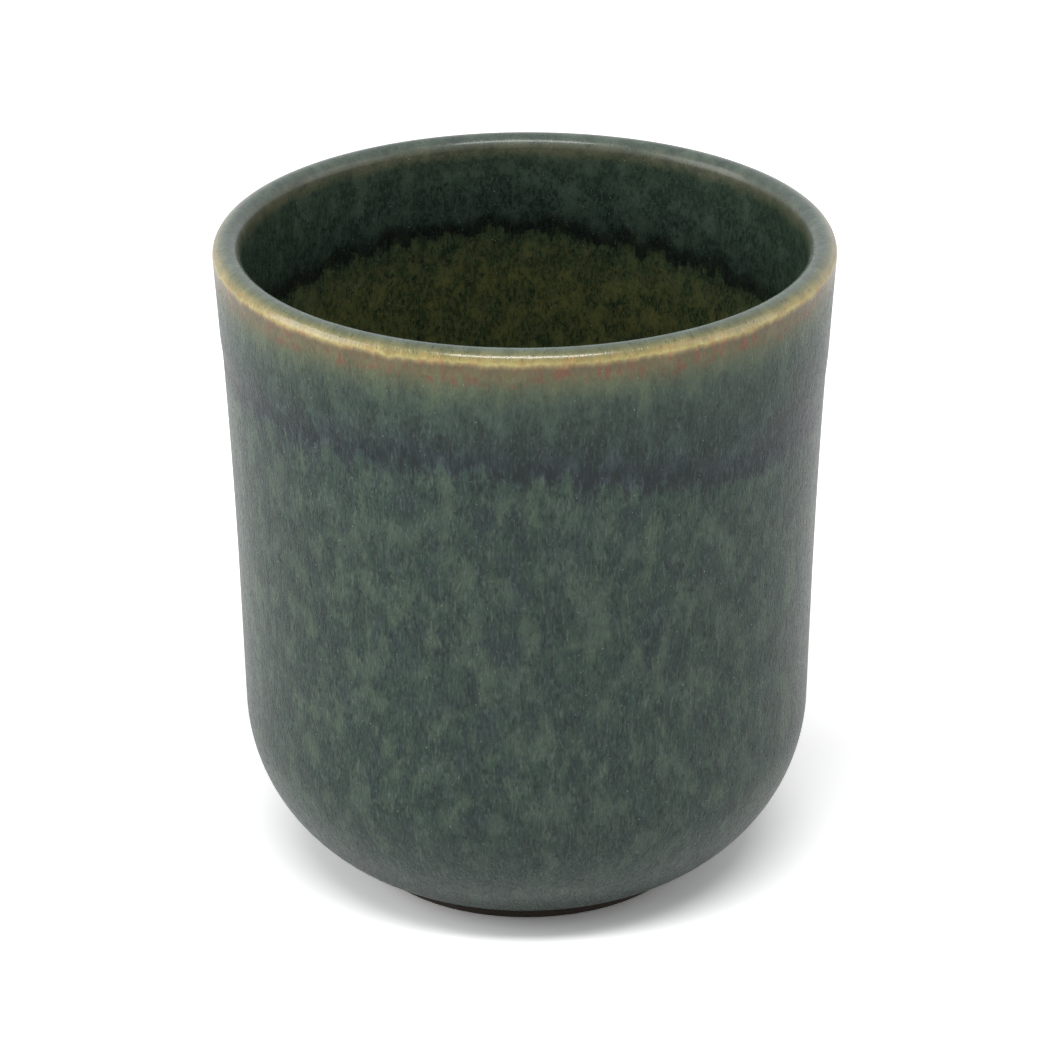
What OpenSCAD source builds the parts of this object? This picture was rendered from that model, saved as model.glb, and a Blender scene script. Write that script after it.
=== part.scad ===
// Stoneware tea cup without a handle: a thrown clay body on a low foot ring, a base coat
// of glaze outside, another inside, and a second coat that the lip was dipped in.
// The cup stands on the plane Z = 0 and its axis is +Z. Lengths are in millimetres.

/* [Cup] */
// Height from the table to the top of the glazed lip
cup_height = 87.5; // [70:0.5:110]
// Diameter across the outside of the glazed lip
rim_d = 80; // [68:0.5:94]
// Outward lean of the straight wall above the lower corner, in degrees
wall_lean = 1.5; // [0:0.1:4]
// Height at which the wall starts to curve outwards
flare_start = 38; // [34:0.5:60]
// How far the lip stands outside the line of the straight wall
flare_out = 1.05; // [0.4:0.05:3]
// Radius of the round lower corner, measured on the clay
corner_r = 23.9; // [17:0.1:30]

/* [Clay] */
// Thickness of the clay wall
wall_t = 2.6; // [2:0.1:4.5]
// Thickness of the clay floor above the seat of the foot ring
floor_t = 5; // [3.5:0.1:8]
// Radius of the round corner between the inside wall and the floor
well_r = 20; // [12:0.5:26]
// Radius of the shallow dish of the floor
dish_r = 120; // [60:5:300]

/* [Foot] */
// Outside diameter of the foot ring
foot_d = 43.2; // [36:0.2:54]
// Height of the foot ring, from the table to its seat under the body
foot_h = 1.7; // [1:0.1:5]
// Width of the foot ring
foot_w = 4; // [2.5:0.1:8]
// Rounding of the two lower edges of the foot ring
foot_edge = 0.5; // [0.2:0.1:0.9]
// Rise of the turned hollow inside the foot ring, at the axis
hollow_rise = 1.2; // [0.4:0.1:2.5]

/* [Glaze] */
// Thickness of the base coat on the wall, inside and outside
coat_t = 0.3; // [0.15:0.05:0.6]
// Depth of the base coat where it pools in the middle of the floor
pool_t = 0.8; // [0.6:0.1:2]
// Thickness of the second coat over the lip
dip_t = 0.15; // [0.05:0.01:0.4]
// Depth from the top of the lip to the lower edge of the second coat, outside
dip_out = 17; // [8:0.5:35]
// Depth from the top of the lip to the lower edge of the second coat, inside
dip_in = 14.5; // [8:0.5:35]
// Length over which the second coat thins out to its lower edge
dip_feather = 4; // [1:0.5:6]

/* [Hidden] */
$fn = 180;

// Numbers of straight steps in each round stretch of the profile
corner_steps = 24;
flare_steps = 5;
lip_steps = 10;
well_steps = 20;
dish_steps = 6;
hollow_steps = 6;
edge_steps = 4;

// Directions along the straight wall and square to it, pointing outwards
up_wall = [sin(wall_lean), cos(wall_lean)];
out_wall = [cos(wall_lean), -sin(wall_lean)];

// The lip is a half round about a point on the middle of the wall
half_t = wall_t / 2;
lip_r = half_t + coat_t + dip_t;
lip_c = [rim_d / 2 - lip_r, cup_height - lip_r];

// The middle of the wall leaves its straight line on an arc that ends at the lip's centre
flare_len = (lip_c.y + flare_out * sin(wall_lean) - flare_start) / cos(wall_lean);
flare_r = (flare_len ^ 2 + flare_out ^ 2) / (2 * flare_out);
flare_foot = lip_c - flare_out * out_wall - flare_len * up_wall;
flare_c = flare_foot + flare_r * out_wall;
flare_turn = atan2(flare_len, flare_r - flare_out);
lip_lean = wall_lean + flare_turn;

// The lower corner touches the outside of the wall and ends on the top edge of the foot ring
foot_r = foot_d / 2;
foot_in = foot_r - foot_w;
foot_top = [foot_r, foot_h];
corner_line = flare_foot + (half_t - corner_r) * out_wall;
corner_c = corner_line + up_wall * (along(foot_top - corner_line)
    + sqrt(corner_r ^ 2 - across(foot_top - corner_line) ^ 2));
corner_turn = angle_of(foot_top - corner_c);

// The inside corner touches the inside of the wall and the dished floor
well_line = flare_foot - (half_t + well_r) * out_wall;

// The hollow under the floor is a shallow dome inside the foot ring
hollow_r = (foot_in ^ 2 + hollow_rise ^ 2) / (2 * hollow_rise);
hollow_c = [0, foot_h + hollow_rise - hollow_r];

// Turns along the flare at the second coat's edges, and where it has its full thickness
out_edge = turn_at(cup_height - dip_out, half_t + coat_t);
in_edge = turn_at(cup_height - dip_in, -half_t - coat_t);
out_full = turn_at(cup_height - dip_out + dip_feather, half_t + coat_t);
in_full = turn_at(cup_height - dip_in + dip_feather, -half_t - coat_t);

// Parts of a vector along the straight wall and square to it
function along(v) = v * up_wall;
function across(v) = v * out_wall;

function toward(a) = [cos(a), sin(a)];
function angle_of(v) = atan2(v.y, v.x);
function reversed(p) = [for (i = [len(p) - 1 : -1 : 0]) p[i]];
function all_but_last(p) = [for (i = [0 : len(p) - 2]) p[i]];
function all_but_first(p) = [for (i = [1 : len(p) - 1]) p[i]];

// Points on an arc from angle a to angle b, with both ends
function arc(c, r, a, b, steps) = [for (i = [0 : steps]) c + r * toward(a + (b - a) * i / steps)];

// Points on the flared wall at a distance outside its middle, between two turns of the flare
function flare(offset, from, to) =
    arc(flare_c, flare_r - offset, 180 - wall_lean - from, 180 - wall_lean - to, flare_steps);

// Turn of the flare at which a surface of the wall reaches a height
function turn_at(z, offset) = asin((z - flare_c.y) / (flare_r - offset)) - wall_lean;

// Half of the round lip with a coat on it, from one side of the wall to the crest
function lip(coat, start) =
    arc(lip_c, half_t + coat, start - lip_lean, 90 - lip_lean, lip_steps);

// Wall from the edge of the second coat to the crest of the lip, with a coat on it
function upper_outside(coat, from) =
    concat(all_but_last(flare(half_t + coat, from, flare_turn)), lip(coat, 0));
function upper_inside(coat, from) =
    concat(all_but_last(flare(-half_t - coat, from, flare_turn)), lip(coat, 180));

// Outside of the cup from the foot ring up to the crest of the lip
function outside(coat) = concat(
    arc(corner_c, corner_r + coat, corner_turn, -wall_lean, corner_steps),
    all_but_last(flare(half_t + coat, 0, out_edge)),
    upper_outside(coat, out_edge));

// Inside of the cup from the axis up to the crest: a dished floor, a round corner and the wall
function dish_c(pool) = [0, foot_h + floor_t + pool + dish_r];
function well_c(coat, pool) = well_line + up_wall * (along(dish_c(pool) - well_line)
    - sqrt((dish_r - well_r + coat) ^ 2 - across(dish_c(pool) - well_line) ^ 2));
function well_turn(coat, pool) = angle_of(well_c(coat, pool) - dish_c(pool));
function inside(coat, pool) = concat(
    all_but_last(arc(dish_c(pool), dish_r, -90, well_turn(coat, pool), dish_steps)),
    arc(well_c(coat, pool), well_r - coat, well_turn(coat, pool), -wall_lean, well_steps),
    all_but_last(flare(-half_t - coat, 0, in_edge)),
    upper_inside(coat, in_edge));

// Hollow under the floor, from the axis to the seat of the foot ring
function hollow() = arc(hollow_c, hollow_r, 90, acos(foot_in / hollow_r), hollow_steps);

module turned(profile) {
    rotate_extrude()
        polygon(profile);
}

// Thrown wall and floor, with a round lip and a turned hollow underneath
module stoneware_body() {
    color("#6e5b49")
        turned(concat(hollow(), outside(0), all_but_first(reversed(inside(0, 0)))));
}

// Bare clay ring that the cup stands on, joined to the flat seat under the body
module foot_ring() {
    outer_edge = [foot_r - foot_edge, foot_edge];
    inner_edge = [foot_in + foot_edge, foot_edge];
    color("#33281f")
        turned(concat(
            [[foot_in, foot_h], foot_top],
            arc(outer_edge, foot_edge, 0, -90, edge_steps),
            arc(inner_edge, foot_edge, -90, -180, edge_steps)));
}

// Base coat outside, from the foot ring to the crest of the lip
module outer_glaze() {
    color("#5b675e")
        turned(concat(outside(coat_t), reversed(outside(0))));
}

// Base coat inside, pooled on the floor, from the axis to the crest of the lip
module liner_glaze() {
    color("#3f3c26")
        turned(concat(inside(coat_t, pool_t), reversed(inside(0, 0))));
}

// Second coat over the lip, thinned out to its lower edge inside and outside
module rim_glaze() {
    both = coat_t + dip_t;
    color("#495752")
        turned(concat(
            upper_outside(both, out_full),
            all_but_first(reversed(upper_inside(both, in_full))),
            upper_inside(coat_t, in_edge),
            all_but_first(reversed(upper_outside(coat_t, out_edge)))));
}

stoneware_body();
foot_ring();
outer_glaze();
liner_glaze();
rim_glaze();
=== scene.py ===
"""Looks of a handleless stoneware tea cup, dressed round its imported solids.

Shapes are worked out in millimetres and written as meshes in metres, in the frame's own place.
"""

import logging
import math
from abc import ABC, abstractmethod
from collections.abc import Mapping, Sequence
from dataclasses import dataclass
from enum import Enum
from functools import cached_property
from typing import Any

import bmesh
import bpy
import numpy as np
from mathutils import Euler, Matrix, Vector


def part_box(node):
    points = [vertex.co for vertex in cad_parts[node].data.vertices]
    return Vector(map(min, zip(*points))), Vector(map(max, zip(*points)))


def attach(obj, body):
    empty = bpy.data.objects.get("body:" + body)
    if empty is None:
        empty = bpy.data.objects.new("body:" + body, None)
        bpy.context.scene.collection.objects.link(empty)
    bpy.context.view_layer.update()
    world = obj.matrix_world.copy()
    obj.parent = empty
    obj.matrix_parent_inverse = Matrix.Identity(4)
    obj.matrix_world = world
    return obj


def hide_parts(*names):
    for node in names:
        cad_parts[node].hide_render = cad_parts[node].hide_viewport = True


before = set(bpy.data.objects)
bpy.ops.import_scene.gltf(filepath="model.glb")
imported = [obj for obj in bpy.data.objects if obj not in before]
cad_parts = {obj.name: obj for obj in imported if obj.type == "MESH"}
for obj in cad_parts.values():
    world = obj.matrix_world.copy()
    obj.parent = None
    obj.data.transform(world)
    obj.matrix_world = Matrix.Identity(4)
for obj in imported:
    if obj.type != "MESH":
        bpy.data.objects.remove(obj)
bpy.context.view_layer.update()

BODY = "root"
MM = 0.001

log = logging.getLogger("tea_cup")


class Side(Enum):
    """Side of the wall that a surface lies on, as the sign of its depth below the crest."""

    OUTSIDE = 1
    INSIDE = -1


def linear(code: str) -> tuple[float, float, float, float]:
    """Turns an sRGB hex colour into linear light.

    Args:
        code: Colour written as "#rrggbb".

    Returns:
        Red, green and blue in linear light, and an alpha of 1.
    """
    shares = [int(code[i : i + 2], 16) / 255 for i in (1, 3, 5)]
    red, green, blue = (s / 12.92 if s <= 0.04045 else ((s + 0.055) / 1.055) ** 2.4 for s in shares)
    return red, green, blue, 1.0


def toward(angle: float) -> Vector:
    """Unit vector in the profile plane at an angle from the radius."""
    return Vector((math.cos(angle), math.sin(angle)))


@dataclass(frozen=True)
class CupShape:
    """Turned profile of the cup, as the solids have it, in millimetres and radians."""

    rim_r: float
    height: float
    foot_r: float
    foot_h: float
    lean: float = math.radians(1.5)
    flare_start: float = 38.0
    flare_out: float = 1.05
    corner_r: float = 23.9
    wall_t: float = 2.6
    floor_t: float = 5.0
    well_r: float = 20.0
    dish_r: float = 120.0
    foot_w: float = 4.0
    foot_edge: float = 0.5
    hollow_rise: float = 1.2
    coat_t: float = 0.3
    pool_t: float = 0.8
    dip_t: float = 0.15

    @classmethod
    def from_frame(cls) -> "CupShape":
        """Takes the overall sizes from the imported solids."""
        lip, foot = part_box("rim_glaze")[1] / MM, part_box("foot_ring")[1] / MM
        return cls(rim_r=lip.x, height=lip.z, foot_r=foot.x, foot_h=foot.z)

    @cached_property
    def up(self) -> Vector:
        """Direction along the straight wall."""
        return Vector((math.sin(self.lean), math.cos(self.lean)))

    @cached_property
    def out(self) -> Vector:
        """Direction square to the straight wall."""
        return Vector((math.cos(self.lean), -math.sin(self.lean)))

    @cached_property
    def half(self) -> float:
        """Half of the clay wall."""
        return self.wall_t / 2

    @cached_property
    def lip_r(self) -> float:
        """Radius of the finished lip."""
        return self.half + self.coat_t + self.dip_t

    @cached_property
    def lip_c(self) -> Vector:
        """Centre of the round lip."""
        return Vector((self.rim_r - self.lip_r, self.height - self.lip_r))

    @cached_property
    def flare_len(self) -> float:
        """Length of the flare along the straight wall's line."""
        return (self.lip_c.y + self.flare_out * math.sin(self.lean) - self.flare_start) / math.cos(self.lean)

    @cached_property
    def flare_r(self) -> float:
        """Radius of the flare at the middle of the wall."""
        return (self.flare_len**2 + self.flare_out**2) / (2 * self.flare_out)

    @cached_property
    def flare_foot(self) -> Vector:
        """Point in the middle of the wall where the flare starts."""
        return self.lip_c - self.flare_out * self.out - self.flare_len * self.up

    @cached_property
    def flare_c(self) -> Vector:
        """Centre of the flare."""
        return self.flare_foot + self.flare_r * self.out

    @cached_property
    def lip_lean(self) -> float:
        """Lean of the wall where the lip starts."""
        return self.lean + math.atan2(self.flare_len, self.flare_r - self.flare_out)

    @cached_property
    def corner_c(self) -> Vector:
        """Centre of the round lower corner, which ends on the top edge of the foot ring.

        Returns:
            The centre in the profile plane.
        """
        line = self.flare_foot + (self.half - self.corner_r) * self.out
        reach = Vector((self.foot_r, self.foot_h)) - line
        return line + self.up * (reach.dot(self.up) + math.sqrt(self.corner_r**2 - reach.dot(self.out) ** 2))

    @cached_property
    def corner_turn(self) -> float:
        """Angle at which the lower corner meets the foot ring."""
        edge = Vector((self.foot_r, self.foot_h)) - self.corner_c
        return math.atan2(edge.y, edge.x)

    @cached_property
    def foot_in(self) -> float:
        """Inside radius of the foot ring."""
        return self.foot_r - self.foot_w

    @cached_property
    def hollow_c(self) -> Vector:
        """Centre of the shallow dome under the floor."""
        radius = (self.foot_in**2 + self.hollow_rise**2) / (2 * self.hollow_rise)
        return Vector((0.0, self.foot_h + self.hollow_rise - radius))

    def dish_c(self, pool: float) -> Vector:
        """Centre of the dished floor under a pool of glaze."""
        return Vector((0.0, self.foot_h + self.floor_t + pool + self.dish_r))

    def well_c(self, coat: float, pool: float) -> Vector:
        """Finds the centre of the round corner inside, which touches the wall and the floor.

        Args:
            coat: Thickness of the glaze on the wall.
            pool: Depth of the glaze on the floor.

        Returns:
            The centre in the profile plane.
        """
        line = self.flare_foot - (self.half + self.well_r) * self.out
        reach = self.dish_c(pool) - line
        drop = math.sqrt((self.dish_r - self.well_r + coat) ** 2 - reach.dot(self.out) ** 2)
        return line + self.up * (reach.dot(self.up) - drop)

    def flare_point(self, offset: float, height: float) -> Vector:
        """Finds a point on the flared wall.

        Args:
            offset: Distance outside the middle of the wall.
            height: Height above the table.

        Returns:
            The point in the profile plane.
        """
        return Vector((float(self.wall_radius(np.array(height), np.array(offset))), height))

    def wall_radius(self, height: np.ndarray, offset: np.ndarray) -> np.ndarray:
        """Finds the radius of the flared wall.

        Args:
            height: Heights above the table.
            offset: Distances outside the middle of the wall.

        Returns:
            The radii from the cup's axis.
        """
        return self.flare_c.x - np.sqrt((self.flare_r - offset) ** 2 - (height - self.flare_c.y) ** 2)

    def wall_offset(self, radius: np.ndarray, height: np.ndarray) -> np.ndarray:
        """Finds how far points lie outside the middle of the flared wall.

        Args:
            radius: Distances from the cup's axis.
            height: Heights above the table.

        Returns:
            The distances outside the middle of the wall.
        """
        return self.flare_r - np.hypot(radius - self.flare_c.x, height - self.flare_c.y)


@dataclass(frozen=True)
class Throwing:
    """Unevenness that hand and kiln leave in every layer alike, in millimetres, always inwards."""

    oval: float = 0.05
    sway: float = 0.04
    droop: float = 0.05
    ripple: float = 0.02

    def settle(self, points: np.ndarray, shape: CupShape) -> np.ndarray:
        """Moves points as the clay has moved.

        Args:
            points: Points in millimetres, one to a row.
            shape: The cup's profile.

        Returns:
            The moved points.
        """
        x, y, z = points.T
        turn, radius = np.arctan2(y, x), np.hypot(x, y)
        rise = np.clip((z - shape.foot_h) / (shape.height - shape.foot_h), 0, 1)
        slow = np.cos(2 * turn - 0.7) * self.oval + np.cos(3 * turn + z / 31 + 1.9) * self.sway
        quick = np.cos(7 * turn - z / 13) * np.cos(z / 5.5 + 2 * turn) * self.ripple
        most = self.oval + self.sway + self.ripple
        pulled = radius - rise * (most - slow - quick) / 2
        share = np.divide(pulled, radius, out=np.ones_like(radius), where=radius > 1e-6)
        fall = self.droop * rise**6 * (1 - np.cos(turn - 2.4)) / 2
        return np.stack([x * share, y * share, z - fall], axis=1)


@dataclass(frozen=True)
class TideLine:
    """Wavy lower edge of the second coat on one side of the wall, in millimetres below the crest."""

    side: Side
    mean: float
    waves: tuple[tuple[float, float], ...]
    jitter: float = 0.35
    lip_zone: float = 8.0

    def depth(self, turn: np.ndarray) -> np.ndarray:
        """Finds the edge's depth straight down from the crest.

        Args:
            turn: Angles about the cup's axis, from the X axis.

        Returns:
            The depths in millimetres.
        """
        front = turn + math.pi / 2
        found = np.full_like(front, self.mean)
        for count, (height, phase) in enumerate(self.waves, start=1):
            found += height * np.cos(count * front - math.radians(phase))
        return found + self.jitter * np.sin(23 * front + 2 * np.sin(5 * front)) * np.cos(9 * front + 1.3)

    def tide(self, run: np.ndarray, limit: np.ndarray) -> np.ndarray:
        """Turns the run down from the crest into a run that reaches the edge at its mean everywhere.

        Args:
            run: Lengths along the surface from the crest, all positive.
            limit: Run of the edge at the same angles.

        Returns:
            The levelled runs, with the side's sign.
        """
        free = (run - self.lip_zone) * (self.mean - self.lip_zone) / (limit - self.lip_zone)
        level = np.where(run < limit, self.lip_zone + free, self.mean + run - limit)
        return self.side.value * np.where(run < self.lip_zone, run, level)


OUTER_TIDE = TideLine(Side.OUTSIDE, 16.3, ((2.32, 51.5), (1.25, 116.0), (0.88, 158.0), (0.44, -138.0)))
INNER_TIDE = TideLine(Side.INSIDE, 13.9, ((0.71, 141.0), (0.61, -148.0), (0.54, 20.0)), 0.6, 4.0)


class Turning:
    """Chain of edges drawn in the XZ plane and spun about Z into a closed shell."""

    def __init__(self, start: Vector) -> None:
        """Starts the chain at a point of the profile plane.

        Args:
            start: The point.
        """
        self.mesh = bmesh.new()
        self.run = self.mesh.verts.layers.float.new("run")
        self.skin = self.mesh.verts.layers.float.new("skin")
        self.shown = 1.0
        self.crest = 0.0
        self.tip = self.mesh.verts.new((start.x, 0.0, start.y))
        self.tip[self.skin] = self.shown

    def follow(self, known: int) -> None:
        """Moves the tip along the newest vertices and notes their run.

        Args:
            known: Number of vertices before the last stroke.
        """
        self.mesh.verts.ensure_lookup_table()
        for vert in self.mesh.verts[known:]:
            vert[self.run] = self.tip[self.run] + (vert.co - self.tip.co).length
            vert[self.skin] = self.shown
            self.tip = vert

    def arc_to(self, centre: Vector, angle: float, pitch: float) -> None:
        """Sweeps the tip round a centre.

        Args:
            centre: Centre of the arc.
            angle: Angle at which the arc ends.
            pitch: Length of one step.
        """
        arm = Vector((self.tip.co.x, self.tip.co.z)) - centre
        sweep = (angle - math.atan2(arm.y, arm.x) + math.pi) % (2 * math.pi) - math.pi
        steps = max(2, round(abs(sweep) * arm.length / pitch))
        known = len(self.mesh.verts)
        bmesh.ops.spin(
            self.mesh,
            geom=[self.tip],
            cent=(centre.x, 0.0, centre.y),
            axis=(0.0, -1.0, 0.0),
            angle=sweep,
            steps=steps,
            use_duplicate=False,
        )
        self.follow(known)

    def line_to(self, end: Vector, pitch: float) -> None:
        """Draws the tip straight to a point.

        Args:
            end: Point where the line ends.
            pitch: Length of one step.
        """
        path = Vector((end.x, 0.0, end.y)) - self.tip.co
        steps = max(1, round(path.length / pitch))
        for _ in range(steps):
            known = len(self.mesh.verts)
            made = bmesh.ops.extrude_vert_indiv(self.mesh, verts=[self.tip])
            bmesh.ops.translate(self.mesh, verts=made["verts"], vec=path / steps)
            self.follow(known)

    def mark_crest(self) -> None:
        """Notes that the tip is at the crest of the lip."""
        self.crest = self.tip[self.run]

    def hide(self) -> None:
        """Starts the part of the chain that another layer covers."""
        self.shown = 0.0

    def spin(self, steps: int, crease: float = math.radians(50)) -> None:
        """Closes the chain, spins it and points its faces outwards.

        Args:
            steps: Number of steps in a full turn.
            crease: Angle from which an edge between faces stays sharp.
        """
        near = 1e-3
        self.mesh.verts.ensure_lookup_table()
        first = self.mesh.verts[0]
        if (self.tip.co - first.co).length < near:
            self.tip[self.run], self.tip[self.skin] = first[self.run], first[self.skin]
        bmesh.ops.remove_doubles(self.mesh, verts=self.mesh.verts[:], dist=near)
        bmesh.ops.spin(
            self.mesh,
            geom=self.mesh.verts[:] + self.mesh.edges[:],
            cent=(0.0, 0.0, 0.0),
            axis=(0.0, 0.0, 1.0),
            angle=2 * math.pi,
            steps=steps,
            use_merge=True,
            use_duplicate=False,
        )
        bmesh.ops.remove_doubles(self.mesh, verts=self.mesh.verts[:], dist=near)
        bmesh.ops.recalc_face_normals(self.mesh, faces=self.mesh.faces[:])
        for face in self.mesh.faces:
            face.smooth = True
        for edge in self.mesh.edges:
            edge.smooth = edge.calc_face_angle(0.0) < crease


class Shell:
    """Finished mesh of a piece, with its points in millimetres until it is written."""

    def __init__(self, name: str, turning: Turning) -> None:
        """Takes the mesh of a turning and frees it.

        Args:
            name: Name of the piece.
            turning: Spun chain of the piece.
        """
        self.name = name
        self.mesh = bpy.data.meshes.new(name)
        turning.mesh.to_mesh(self.mesh)
        turning.mesh.free()
        self.run = turning.crest - self.take("run")
        self.skin = self.take("skin") > 0.5
        flat = np.empty(len(self.mesh.vertices) * 3, np.float32)
        self.mesh.vertices.foreach_get("co", flat)
        self.points = flat.reshape(-1, 3).astype(float)

    @property
    def turn(self) -> np.ndarray:
        """Angles of the points about the cup's axis."""
        return np.arctan2(self.points[:, 1], self.points[:, 0])

    @property
    def radius(self) -> np.ndarray:
        """Distances of the points from the cup's axis."""
        return np.hypot(self.points[:, 0], self.points[:, 1])

    def take(self, layer: str) -> np.ndarray:
        """Reads a layer of the turning and removes it.

        Args:
            layer: Name of the layer.

        Returns:
            One value for each point.
        """
        found = self.mesh.attributes[layer]
        values = np.empty(len(found.data), np.float32)
        found.data.foreach_get("value", values)
        self.mesh.attributes.remove(found)
        return values.astype(float)

    def set_radius(self, radius: np.ndarray, where: np.ndarray) -> None:
        """Moves chosen points to new distances from the axis.

        Args:
            radius: New distances, one for each point.
            where: Which points move.
        """
        share = np.where(where, radius / np.maximum(self.radius, 1e-6), 1.0)
        self.points[:, :2] *= share[:, None]

    def note(self, name: str, values: np.ndarray) -> None:
        """Stores values on the points for the finish to read.

        Args:
            name: Name of the attribute.
            values: One number or one vector for each point.
        """
        vector = values.ndim == 2
        made = self.mesh.attributes.new(name, "FLOAT_VECTOR" if vector else "FLOAT", "POINT")
        made.data.foreach_set("vector" if vector else "value", values.astype(np.float32).ravel())

    def write(self) -> bpy.types.Object:
        """Writes the points in metres and links the object.

        Returns:
            The linked object.
        """
        self.mesh.vertices.foreach_set("co", (self.points * MM).astype(np.float32).ravel())
        made = bpy.data.objects.new(self.name, self.mesh)
        bpy.context.scene.collection.objects.link(made)
        return made


class Graph:
    """Node tree of a material, world or light, filled through one call."""

    def __init__(self, tree: bpy.types.NodeTree) -> None:
        """Empties the tree."""
        self.tree = tree
        tree.nodes.clear()

    def add(
        self,
        kind: str,
        inputs: Mapping[Any, Any] | None = None,
        out: Any = 0,
        stops: Sequence[tuple[float, str]] = (),
        **settings: Any,
    ) -> Any:
        """Adds a node with its settings and links.

        Args:
            kind: Blender's name for the node.
            inputs: Sockets to set, each with a value or the socket that feeds it.
            out: Output that the caller goes on with.
            stops: Places and colours of a colour ramp.
            settings: Properties of the node.

        Returns:
            The output socket, or None for a node without outputs.
        """
        node = self.tree.nodes.new(kind)
        for name, value in settings.items():
            setattr(node, name, value)
        if stops:
            marks = node.color_ramp.elements
            marks[0].position, marks[-1].position = stops[0][0], stops[-1][0]
            for place, _ in stops[1:-1]:
                marks.new(place)
            for mark, (_, code) in zip(marks, stops):
                mark.color = linear(code)
        for key, value in (inputs or {}).items():
            if isinstance(value, bpy.types.NodeSocket):
                self.tree.links.new(value, node.inputs[key])
            else:
                node.inputs[key].default_value = value
        return node.outputs[out] if len(node.outputs) else None


class Finish(ABC):
    """Surface of a piece, named for the real material and how it was made."""

    name: str

    @abstractmethod
    def fill(self, graph: Graph) -> None:
        """Fills the material's nodes."""

    def material(self) -> bpy.types.Material:
        """Makes the material.

        Returns:
            The material.
        """
        made = bpy.data.materials.new(self.name)
        made.use_nodes = True
        self.fill(Graph(made.node_tree))
        return made


@dataclass(frozen=True)
class Grain:
    """Size of one pattern in the glaze, in millimetres across and along its run."""

    width: float
    length: float
    seed: float
    detail: float = 2.0
    rough: float = 0.5


@dataclass(frozen=True)
class Zone:
    """Colours of the glaze at one run below the crest: in dark fields, between them and in pale blots."""

    run: float
    dark: str
    mid: str
    pale: str


# The finest crystals are too small to show, and are drawn about 0.3 mm wide
GRAINS = {
    "runs": Grain(0.8, 6.0, 3.1),
    "wander": Grain(4.0, 7.0, 9.7),
    "cloud": Grain(2.0, 3.6, 1.7, 6.0, 0.72),
    "streak": Grain(0.42, 2.6, 35.9),
    "blot": Grain(3.0, 5.0, 5.3, 5.0, 0.6),
    "haze": Grain(3.6, 4.6, 21.3, 4.0, 0.6),
    "thread": Grain(0.3, 1.1, 7.9, 2.0, 0.55),
    "vein": Grain(0.28, 1.5, 12.1, 1.0),
    "grit": Grain(0.34, 0.58, 15.7, 2.0, 0.65),
    "peel": Grain(0.9, 1.5, 18.9),
    "pit": Grain(0.35, 0.8, 24.3, 1.0),
    "stroke": Grain(0.5, 1.3, 27.7),
    "fleck": Grain(0.8, 1.6, 41.3),
    "group": Grain(4.0, 3.0, 31.1, 1.0),
}

# Patterns that are used as a swing about their mean
EVENED = ("runs", "wander", "streak", "stroke", "cloud")

# Kind and output of a node that mixes two colours
COLOUR_MIX: dict[str, Any] = {"out": 2, "data_type": "RGBA"}

# How the runs sway: the noise's steps in each millimetre, and its reach in millimetres
SWAYS = (((0.4, 0.4, 0.2), (0.9, 0.9, 1.6)), ((1.0, 1.0, 0.8), (0.4, 0.4, 0.4)))

GLAZE_ZONES = (
    Zone(-20.0, "#25301a", "#3a4125", "#4b4e2b"),
    Zone(-17.0, "#23301c", "#333c24", "#444a2e"),
    Zone(-15.0, "#1f2a1a", "#2e3a25", "#3d472c"),
    Zone(-14.3, "#182115", "#27321f", "#343e26"),
    Zone(-13.9, "#070a08", "#0d120d", "#161c14"),
    Zone(-12.9, "#090d0b", "#111813", "#1b221a"),
    Zone(-11.6, "#18231d", "#243229", "#2f3d32"),
    Zone(-8.0, "#1c2921", "#2a3a2e", "#38483c"),
    Zone(-4.2, "#233128", "#2f3c2f", "#3d4a3d"),
    Zone(-3.2, "#343d2b", "#434936", "#52543e"),
    Zone(-2.4, "#383e2f", "#464a35", "#545540"),
    Zone(-1.2, "#3a463e", "#47544a", "#546155"),
    Zone(0.0, "#435148", "#4f5d54", "#5c6a61"),
    Zone(0.9, "#575b3d", "#656745", "#73734e"),
    Zone(1.35, "#736f48", "#817b4d", "#8e8554"),
    Zone(1.8, "#847945", "#91834d", "#9c8e56"),
    Zone(2.28, "#9f935a", "#ada163", "#b8ad6d"),
    Zone(2.46, "#86794f", "#928456", "#9d8f61"),
    Zone(2.70, "#706242", "#7a6a48", "#84744f"),
    Zone(2.98, "#5a4f35", "#625839", "#6b6040"),
    Zone(4.2, "#58543a", "#625e41", "#6c6847"),
    Zone(5.0, "#4b5038", "#555940", "#5f6146"),
    Zone(6.0, "#414a37", "#4b5540", "#566047"),
    Zone(8.0, "#273930", "#354739", "#465641"),
    Zone(9.3, "#182d24", "#293c32", "#394c3e"),
    Zone(12.9, "#0a1e1a", "#182d28", "#2a3f39"),
    Zone(14.4, "#091918", "#172826", "#293b3a"),
    Zone(15.5, "#0a1719", "#182628", "#2a373c"),
    Zone(16.2, "#090f12", "#172227", "#303a41"),
    Zone(16.8, "#0d171a", "#223034", "#3d484c"),
    Zone(18.2, "#0f2623", "#223a2f", "#3d5040"),
    Zone(30.0, "#0e2522", "#1f362b", "#3b4d3d"),
)

# Where each kind of mark shows along the run: red for rust strokes, green for orange ones, blue for haze
MARK_ZONES = (
    (-20.0, "#004800"),
    (-15.6, "#004800"),
    (-14.6, "#000000"),
    (1.0, "#000000"),
    (1.7, "#00c000"),
    (2.6, "#30d000"),
    (3.0, "#ff4000"),
    (4.6, "#ff0000"),
    (5.8, "#000000"),
    (9.0, "#000000"),
    (13.0, "#0000ff"),
    (30.0, "#0000ff"),
)


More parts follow.
